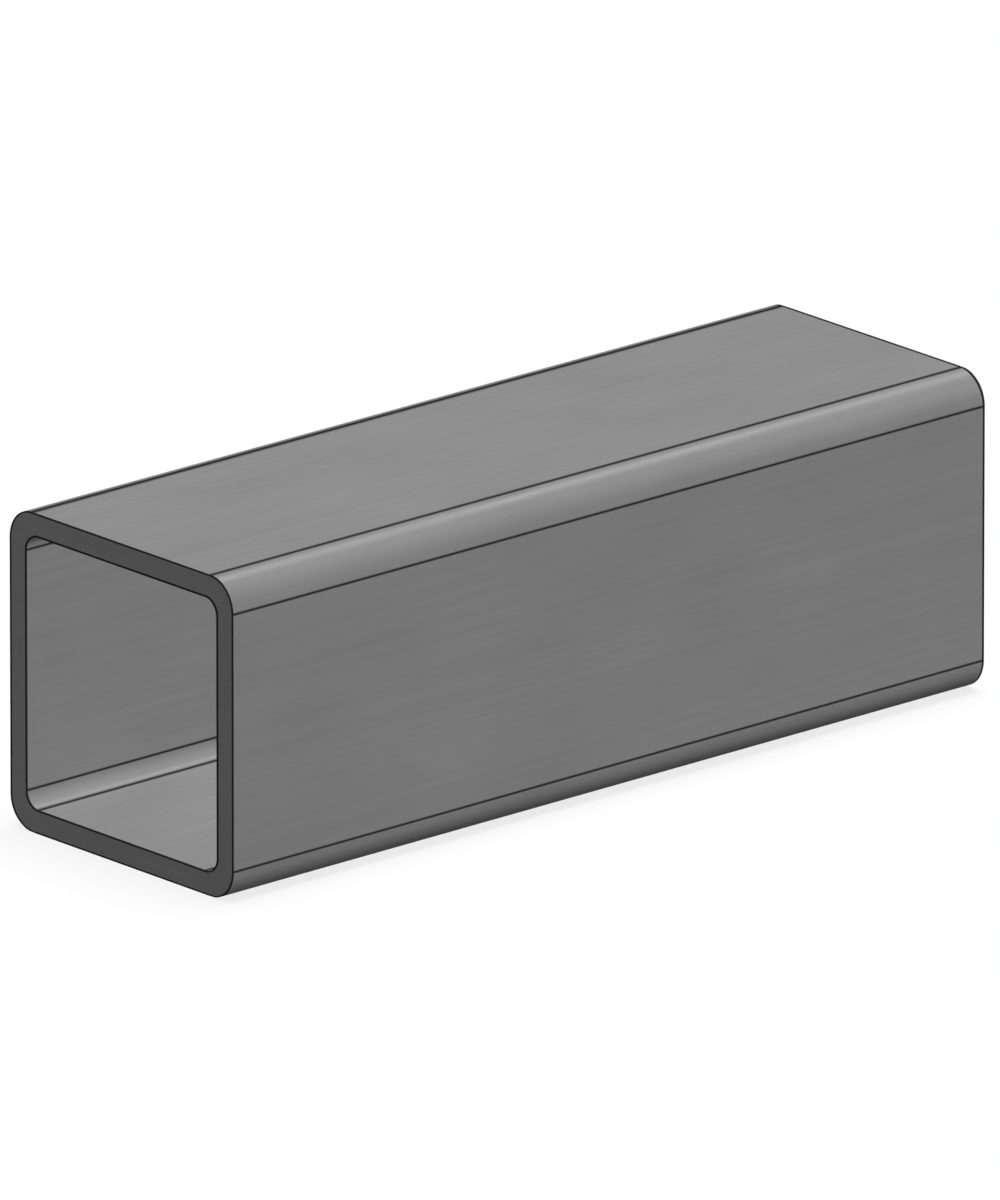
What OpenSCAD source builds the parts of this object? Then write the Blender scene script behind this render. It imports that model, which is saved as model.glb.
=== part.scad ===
// Square hollow section: a short sawn piece of structural steel tube, lying on one flat side.
// Length runs along X, width along Y and height along Z. The origin is the middle of the underside.

/* [Section] */
// Width over the two upright walls
section_w = 80; // [40:1:200]
// Height over the top and bottom walls
section_h = 80; // [40:1:200]
// Thickness of all four walls
wall_t = 6; // [4:0.5:10]
// Radius of the four long corners outside
outer_r = 8; // [4:0.5:12]
// Radius of the four long corners inside, each about its own centre
inner_r = 4; // [2:0.5:8]

/* [Piece] */
// Length between the two sawn ends
piece_l = 240; // [120:5:1200]
// Size of the filed break round the outer and inner edges of each sawn end
end_break = 0.2; // [0.1:0.05:1]

/* [Hidden] */
$fn = 96;
// Clear width and height of the hollow
hollow_w = section_w - 2 * wall_t;
hollow_h = section_h - 2 * wall_t;
// How far the hollow's cutter runs past each sawn end, still along the slope of the break
past_end = 1;
// Which way a break leans: in, on the bar's own edges, or out, on the mouth of the hollow
lean_in = -1;
lean_out = 1;

// A bar's edge from end to end, as [distance from the centre line, place along the length].
// It is straight but for its two ends, which lean by 45 degrees.
function edge_line(reach, past, lean) =
    let (
        straight_x = piece_l / 2 - end_break,
        end_x = piece_l / 2 + past,
        end_reach = reach + lean * (end_break + past)
    )
    [[end_reach, -end_x], [reach, -straight_x], [reach, straight_x], [end_reach, end_x]];

// A flat slab lying in XY, between the edge line and the same line turned half round
module slab(w, thick, past, lean)
    linear_extrude(thick, center = true)
        polygon([for (turn = [1, -1], p = edge_line(w / 2, past, lean)) turn * [p[1], p[0]]]);

// A round post along X, turned from the edge line
module post(r, past, lean)
    let (end_x = piece_l / 2 + past)
        rotate([0, 90, 0])
            rotate_extrude()
                polygon([[0, -end_x], each edge_line(r, past, lean), [0, end_x]]);

// A bar with rounded long corners: two slabs that cross, and a post in each corner
module rounded_bar(w, h, r, past, lean) {
    slab(w, h - 2 * r, past, lean);
    rotate([90, 0, 0]) slab(h, w - 2 * r, past, lean);
    for (y = [-1, 1], z = [-1, 1])
        translate([0, y * (w / 2 - r), z * (h / 2 - r)]) post(r, past, lean);
}

module hollow_section()
    color("gray")
        translate([0, 0, section_h / 2])
            difference() {
                rounded_bar(section_w, section_h, outer_r, 0, lean_in);
                rounded_bar(hollow_w, hollow_h, inner_r, past_end, lean_out);
            }

hollow_section();
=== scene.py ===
import math

import bpy
import numpy as np
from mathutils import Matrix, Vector


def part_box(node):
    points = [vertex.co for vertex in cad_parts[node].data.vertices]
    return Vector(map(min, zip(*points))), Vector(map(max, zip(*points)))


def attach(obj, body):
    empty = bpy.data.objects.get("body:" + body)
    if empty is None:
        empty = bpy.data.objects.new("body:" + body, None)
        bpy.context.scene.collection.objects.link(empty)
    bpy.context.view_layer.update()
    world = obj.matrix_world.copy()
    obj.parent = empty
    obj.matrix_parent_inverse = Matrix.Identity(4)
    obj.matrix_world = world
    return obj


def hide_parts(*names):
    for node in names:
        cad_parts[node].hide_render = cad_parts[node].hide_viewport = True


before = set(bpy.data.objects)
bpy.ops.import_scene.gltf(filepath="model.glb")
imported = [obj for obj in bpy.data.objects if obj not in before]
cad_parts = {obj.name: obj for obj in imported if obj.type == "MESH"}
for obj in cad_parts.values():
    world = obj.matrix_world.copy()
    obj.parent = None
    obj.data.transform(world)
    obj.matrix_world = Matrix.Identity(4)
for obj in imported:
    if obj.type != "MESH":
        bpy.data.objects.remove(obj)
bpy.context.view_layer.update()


# The hollow section
# A square tube of hot rolled structural steel with a satin grey mill finish, sawn square at both
# ends. The sizing rolls leave a dark line where each flat meets a rounded corner, outside and in,
# and the sawn edges are lightly filed, with a dark painted shadow line along each of them.

low, high = (np.array(corner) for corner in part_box("hollow_section"))
middle = (low + high) / 2
half_length = (high[0] - low[0]) / 2
half_outside = (high - low)[1:] / 2
wall = 0.006
half_inside = half_outside - wall
outer_radius = 0.008
inner_radius = 0.004

# Half the width of a roll line: the upright rolls press narrower ones than the level rolls, and the
# widest line runs along the left of the top, widened there as painted shade along the back edge.
upright_line = 0.00058
level_line = 0.00122
wide_line = 0.0017
line_depth = 0.00004
# How far the surface is held true beside a line or a rim before the plain stretch begins.
guard = 0.0001
edge_break = 0.0002
# The widths of the dark rims beside the filed edges, which are painted shadow lines. Along the steel
# the far end's is wider, and widest on top. Over the sawn face the painted shade is widened where
# the steel beside it faces left, and where it faces down: the first number for steel that faces
# left, and the second for steel that faces down. The inner edges' rims are wider.
near_rim = 0.00008
far_rim = 0.0006
far_top_rim = 0.00085
inner_rim = 0.00015
face_rim = 0.0001
outer_side_reach = np.array([0.0005, -0.00019])
inner_side_reach = np.array([0.00056, -0.00028])
rim_fade = 0.0001
# The places a rim has rows at, as shares of its width and of its fade, and its painted shade there.
rim_share = np.array([0, 1 / 3, 1, 1])
fade_share = np.array([0, 0, 0, 1])
rim_dark = np.array([0.95, 0.95, 0.95, 0.0])

line_steps = 7
corner_steps = 20
flat_steps = 8
length_steps = 24


def ring(half_size, radius):
    """A rounded rectangle's stations, corner by corner. A station's place is its centre plus the
    radius along its normal, where the centre is the corner's own on an arc, and slides in a straight
    line to the next corner's along a flat. The last array is the distance from the nearest line
    where a flat meets an arc, over that line's half width."""
    signs = np.array([(1, 1), (-1, 1), (-1, -1), (1, -1), (1, 1)])
    start_lines = [upright_line, level_line, upright_line, level_line, upright_line]
    end_lines = [wide_line, upright_line, level_line, upright_line]
    beside = np.linspace(0, 1, line_steps)
    angles, slides, corners, nearness = [], [], [], []
    for corner, end_line in enumerate(end_lines):
        start_line, next_line = start_lines[corner : corner + 2]
        start, end, following = (
            np.append(beside * line, line + guard) for line in (start_line, end_line, next_line)
        )
        arc = radius * math.pi / 2
        plain = np.linspace(start[-1], arc - end[-1], corner_steps)[1:-1]
        along = np.concatenate([start, plain, arc - end[::-1]])
        angles.append(corner * math.pi / 2 + along / radius)
        slides.append(np.zeros(len(along)))
        nearness.append(np.minimum(along / start_line, (arc - along) / end_line))

        flat = 2 * (half_size[corner % 2] - radius)
        plain = np.linspace(end[-1], flat - following[-1], flat_steps)[1:-1]
        along = np.concatenate([end[1:], plain, flat - following[:0:-1]])
        angles.append(np.full(len(along), (corner + 1) * math.pi / 2))
        slides.append(along / flat)
        nearness.append(np.minimum(along / end_line, (flat - along) / next_line))
        corners += [corner] * (len(angles[-2]) + len(along))
    angle, slide, corner = np.concatenate(angles), np.concatenate(slides), np.array(corners)
    normal = np.column_stack([np.cos(angle), np.sin(angle)])
    sign = signs[corner] + slide[:, None] * (signs[corner + 1] - signs[corner])
    return sign * (half_size - radius), normal, np.concatenate(nearness)


outside, outside_normal, outside_nearness = ring(half_outside, outer_radius)
inside, inside_normal, inside_nearness = ring(half_inside, inner_radius)


def hump(nearness):
    """The share of a roll line at a place: a cosine wave's one hump, full on the line."""
    return (1 + np.cos(math.pi * np.clip(nearness, 0, 1))) / 2


def rim(width):
    """The distances of a rim's rows from the edge of the filed break."""
    return rim_share * width + fade_share * rim_fade


def run(near_width, far_width):
    """Places along a long face from the near end to the far one, with the dark share at each: a rim
    and a guard at both ends, and even steps between."""
    near = edge_break - half_length + np.append(rim(near_width), near_width + rim_fade + guard)
    far = half_length - edge_break - np.append(rim(far_width), far_width + rim_fade + guard)
    even = np.linspace(near[-1], far[-1], length_steps)[1:-1]
    plain = np.zeros(len(even) + 2)
    return np.concatenate([near, even, far[::-1]]), np.concatenate([rim_dark, plain, rim_dark[::-1]])


outer_x, outer_dark = run(near_rim, far_rim)
inner_x, inner_dark = run(inner_rim, inner_rim)
face_dark = np.append(rim_dark, rim_dark[::-1])
face_inside = np.repeat([0.0, 1.0], len(rim_dark))
face_move = np.append(-edge_break - rim(0), edge_break + rim(0)[::-1])
face_share = np.append(-rim_share, rim_share[::-1])
face, plain = np.ones(len(face_dark)), np.zeros(len(outer_x))
# The far rim's rows, with the guard's before them, are pulled back where the rim widens on top.
far_pull = np.append(1, rim_share[::-1])
outer_pull = np.append(plain[len(far_pull) :], far_pull)

# The rows of the surface, round the wall: out along the outside, over the far end, back along the
# inside and over the near end. Each has its place on the length, its share of the pull on the far
# rim, its share of the inside ring, its move from that ring, the share of the face rim's width that
# is added to the move, its share of dark rim and its share of sawn face.
row_x = np.concatenate([outer_x, face * half_length, inner_x[::-1], -face * half_length])
row_pull = np.concatenate([outer_pull, 0 * face, plain, 0 * face])
row_inside = np.concatenate([plain, face_inside, plain + 1, face_inside[::-1]])
row_move = np.concatenate([plain, face_move, plain, face_move[::-1]])
row_share = np.concatenate([plain, face_share, plain, face_share[::-1]])
row_dark = np.concatenate([outer_dark, face_dark, inner_dark, face_dark])
row_sawn = np.concatenate([plain, face, plain, face])
first_rows = np.cumsum([0, len(plain), len(face), len(plain)])
break_rows = np.append(first_rows, first_rows - 1) % len(row_x)
is_inside = row_inside > 0.5


def rim_width(facing, side_reach):
    """The width of the painted shadow line on the sawn face: the plain one, and more as the normal of
    the steel beside it turns along the given reach."""
    return face_rim + np.clip(facing @ side_reach, 0, None)


def wall_surface():
    """The closed skin of the wall, as a grid of rows by stations. Each point lies on the outside ring
    or the inside ring, moved along the ring's normal by the row's own move and its share of the rim,
    and by the roll line's dip, which goes into the steel: inwards outside and outwards inside. The
    far rim's rows are pulled back from the end in proportion as the steel beside them faces up."""
    move, share = row_move[:, None], row_share[:, None]
    trough = line_depth * (1 - row_sawn)[:, None]
    outer_move = move + share * rim_width(outside_normal, outer_side_reach) - trough * hump(outside_nearness)
    inner_move = move + share * rim_width(-inside_normal, inner_side_reach) + trough * hump(inside_nearness)
    outer = outside + (outer_radius + outer_move)[:, :, None] * outside_normal
    inner = inside + (inner_radius + inner_move)[:, :, None] * inside_normal
    across = np.where(is_inside[:, None, None], inner, outer)
    pull = (far_top_rim - far_rim) * np.clip(outside_normal[:, 1], 0, None)
    x = row_x[:, None] - row_pull[:, None] * pull
    return middle + np.concatenate([x[:, :, None], across], axis=2)


points = wall_surface()
rows, stations = points.shape[:2]
number = np.arange(rows * stations).reshape(rows, stations)
next_row, next_station = np.roll(number, -1, axis=0), np.roll(number, -1, axis=1)
next_both = np.roll(next_row, -1, axis=1)
quads = np.stack([number, next_station, next_both, next_row], axis=2).reshape(-1, 4)

skin = bpy.data.meshes.new("section_steel")
skin.from_pydata(points.reshape(-1, 3), [], quads)

# The dark share of each point, in a roll line or in a rim's painted shade, and its share of sawn face.
nearness = np.where(is_inside[:, None], inside_nearness, outside_nearness)
in_line = hump(nearness) * (1 - row_sawn)[:, None]
for name, share in (
    ("dark", np.maximum(in_line, row_dark[:, None])),
    ("sawn", np.broadcast_to(row_sawn[:, None], in_line.shape)),
):
    stored = skin.attributes.new(name, "FLOAT", "POINT")
    stored.data.foreach_set("value", share.astype(np.float32).ravel())

# The edges on both sides of each filed break stay sharp, and everything else is smooth.
ends = np.empty(len(skin.edges) * 2, int)
skin.edges.foreach_get("vertices", ends)
near_row, far_row = (ends // stations).reshape(-1, 2).T
skin.edges.foreach_set("use_edge_sharp", np.isin(near_row, break_rows) & (near_row == far_row))
skin.polygons.foreach_set("use_smooth", np.ones(len(skin.polygons), bool))
skin.update()

# The mill scale is dull, and lets through a little of the metal's broad sheen.
metal_share = 0.06
own_gloss = 0.0
steel = bpy.data.materials.new("mill_steel")
steel.use_nodes = True
nodes, links = steel.node_tree.nodes, steel.node_tree.links
surface = nodes["Principled BSDF"]
surface.inputs["Metallic"].default_value = metal_share
surface.inputs["Specular IOR Level"].default_value = own_gloss
place = nodes.new("ShaderNodeTexCoord")


def pattern(scale, detail, turn=0.0):
    """A noise on the steel's own coordinates, with its grain in each direction set by scale."""
    mapping = nodes.new("ShaderNodeMapping")
    mapping.inputs["Scale"].default_value = scale
    mapping.inputs["Rotation"].default_value[0] = turn
    links.new(place.outputs["Object"], mapping.inputs["Vector"])
    noise = nodes.new("ShaderNodeTexNoise")
    noise.inputs["Scale"].default_value = 1.0
    noise.inputs["Detail"].default_value = detail
    links.new(mapping.outputs["Vector"], noise.inputs["Vector"])
    return noise.outputs["Fac"]


def spread(value, low_end, high_end):
    """The middle of a noise, from 0.3 to 0.7, stretched to run from low_end to high_end."""
    reach = nodes.new("ShaderNodeMapRange")
    reach.inputs["From Min"].default_value = 0.3
    reach.inputs["From Max"].default_value = 0.7
    reach.inputs["To Min"].default_value = low_end
    reach.inputs["To Max"].default_value = high_end
    links.new(value, reach.inputs["Value"])
    return reach.outputs["Result"]


def blend(kind, share, first, second):
    """A mix of two colours or two numbers by share. Either may be a socket or a plain value."""
    mix = nodes.new("ShaderNodeMix")
    mix.data_type = kind
    here = [s for s in mix.inputs if s.enabled]
    for socket, value in zip(here, (share, first, second)):
        if isinstance(value, bpy.types.NodeSocket):
            links.new(value, socket)
        else:
            socket.default_value = value
    return next(s for s in mix.outputs if s.enabled)


def share_of(name):
    """A share stored on the mesh."""
    stored = nodes.new("ShaderNodeAttribute")
    stored.attribute_name = name
    return stored.outputs["Fac"]


# Fine streaks drawn out along the length, cloudy mill scale, and the saw's level scratches.
streaks = pattern((5, 650, 650), 3)
clouds = pattern((28, 45, 45), 4)
scratches = pattern((40, 30, 1100), 2, turn=math.radians(4))

light_steel = (0.272, 0.272, 0.272, 1)
deep_steel = (0.230, 0.230, 0.230, 1)
# The dark of the roll lines, and of the painted shadow lines along the filed edges.
line_and_shadow_dark = (0.012, 0.012, 0.012, 1)
cloud_share = 0.5
smoothest, roughest = 0.38, 0.46
dark_line_roughness = 0.9
grain = blend("FLOAT", share_of("sawn"), streaks, scratches)
tone = blend("FLOAT", cloud_share, spread(grain, 0, 1), spread(clouds, 0, 1))
steel_colour = blend("RGBA", tone, deep_steel, light_steel)
colour = blend("RGBA", share_of("dark"), steel_colour, line_and_shadow_dark)
links.new(colour, surface.inputs["Base Color"])
satin = spread(clouds, smoothest, roughest)
links.new(blend("FLOAT", share_of("dark"), satin, dark_line_roughness), surface.inputs["Roughness"])

relief_strength = 0.06
relief_height = 0.0001
relief = nodes.new("ShaderNodeBump")
relief.inputs["Strength"].default_value = relief_strength
relief.inputs["Distance"].default_value = relief_height
links.new(grain, relief.inputs["Height"])
links.new(relief.outputs["Normal"], surface.inputs["Normal"])

skin.materials.append(steel)
section = bpy.data.objects.new("section_steel", skin)
bpy.context.scene.collection.objects.link(section)
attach(section, "root")
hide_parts("hollow_section")


# The floor
# A plain pale sheet under the section. It shows white to the eye and in reflections, keeps the
# section's own soft shadow, and sends little light back up, as a wide dull table would.

floor_half = 3.0
corners = [(x * floor_half, y * floor_half, low[2]) for x, y in ((-1, -1), (1, -1), (1, 1), (-1, 1))]
sheet = bpy.data.meshes.new("floor")
sheet.from_pydata(corners, [], [(0, 1, 2, 3)])

paper = bpy.data.materials.new("pale_floor")
paper.use_nodes = True
nodes, links = paper.node_tree.nodes, paper.node_tree.links
nodes.clear()
floor_pale = (0.77, 0.77, 0.77, 1)
floor_dim = (0.12, 0.12, 0.12, 1)


def seen_share():
    """1 for what the camera, a reflection or a clear material sees, and 0 for the light that falls."""
    path = nodes.new("ShaderNodeLightPath")
    largest = path.outputs["Is Camera Ray"]
    for name in ("Is Glossy Ray", "Is Transmission Ray"):
        more = nodes.new("ShaderNodeMath")
        more.operation = "MAXIMUM"
        links.new(largest, more.inputs[0])
        links.new(path.outputs[name], more.inputs[1])
        largest = more.outputs["Value"]
    return largest


matt = nodes.new("ShaderNodeBsdfDiffuse")
links.new(blend("RGBA", seen_share(), floor_dim, floor_pale), matt.inputs["Color"])
output = nodes.new("ShaderNodeOutputMaterial")
links.new(matt.outputs["BSDF"], output.inputs["Surface"])

sheet.materials.append(paper)
floor = bpy.data.objects.new("floor", sheet)
bpy.context.scene.collection.objects.link(floor)


# The light
# Wide soft lights without shadows, as from a white tent: a narrower one from behind, which gives the
# rounded corner its bright band, and broad ones from the right, the left and the near end. One more,
# overhead, falls on the floor alone and lays the section's shadow there.


def lamp(name, towards, strength, spread_degrees, in_reflections=False):
    """A wide, even light from the direction towards, as (right, away, up) seen from the near end."""
    light = bpy.data.lights.new(name, "SUN")
    light.energy = strength
    light.angle = math.radians(spread_degrees)
    light.use_shadow = False
    holder = bpy.data.objects.new(name, light)
    bpy.context.scene.collection.objects.link(holder)
    right, away, up = towards
    holder.rotation_mode = "QUATERNION"
    holder.rotation_quaternion = Vector((away, -right, up)).to_track_quat("Z", "Y")
    holder.visible_glossy = in_reflections
    return holder


lamp("back_soft", (-0.27, 0.62, 0.74), 1.52, 6, in_reflections=True)
lamp("right_soft", (0.685, 0.125, 0.705), 2.76, 30)
lamp("left_soft", (-1.0, 0.0, 0.1), 1.0, 30)
lamp("front_soft", (0.0, -1.0, 0.1), 0.44, 30)

overhead = lamp("overhead_soft", (0.0, 0.1, 1.0), 0.85, 45)
overhead.data.use_shadow = True
ground = bpy.data.collections.new("ground")
ground.objects.link(floor)
overhead.light_linking.receiver_collection = ground

# The sky is white to look at, and gives only a little light.
sky_fill = 0.02
sky_white = 1.0
sky = bpy.data.worlds.new("pale_sky")
bpy.context.scene.world = sky
sky.use_nodes = True
nodes, links = sky.node_tree.nodes, sky.node_tree.links
sky_strength = nodes.new("ShaderNodeMapRange")
sky_strength.inputs["To Min"].default_value = sky_fill
sky_strength.inputs["To Max"].default_value = sky_white
links.new(seen_share(), sky_strength.inputs["Value"])
nodes["Background"].inputs["Color"].default_value = (1, 1, 1, 1)
links.new(sky_strength.outputs["Result"], nodes["Background"].inputs["Strength"])
bpy.context.scene.view_settings.view_transform = "Standard"


# The camera
# Far off with a very long lens, as the picture shows parallel edges as parallel: 42 degrees round
# from the side and 18 degrees up.

azimuth = math.radians(-41.74)
elevation = math.radians(18.23)
distance = 10.861
lens_over_sensor = 38
# Where the middle of the picture lies from the middle of the section.
aim_right = 0.00015
aim_up = -0.00034

level = math.cos(elevation)
back = Vector((math.sin(azimuth) * level, -math.cos(azimuth) * level, math.sin(elevation)))
right = Vector((math.cos(azimuth), math.sin(azimuth), 0))
up = back.cross(right)
lens = bpy.data.cameras.new("camera")
lens.lens = lens_over_sensor * lens.sensor_width
lens.clip_end = 2 * distance
camera = bpy.data.objects.new("camera", lens)
bpy.context.scene.collection.objects.link(camera)
camera.location = Vector(middle) + aim_right * right + aim_up * up + distance * back
camera.rotation_mode = "QUATERNION"
camera.rotation_quaternion = back.to_track_quat("Z", "Y")
bpy.context.scene.camera = camera
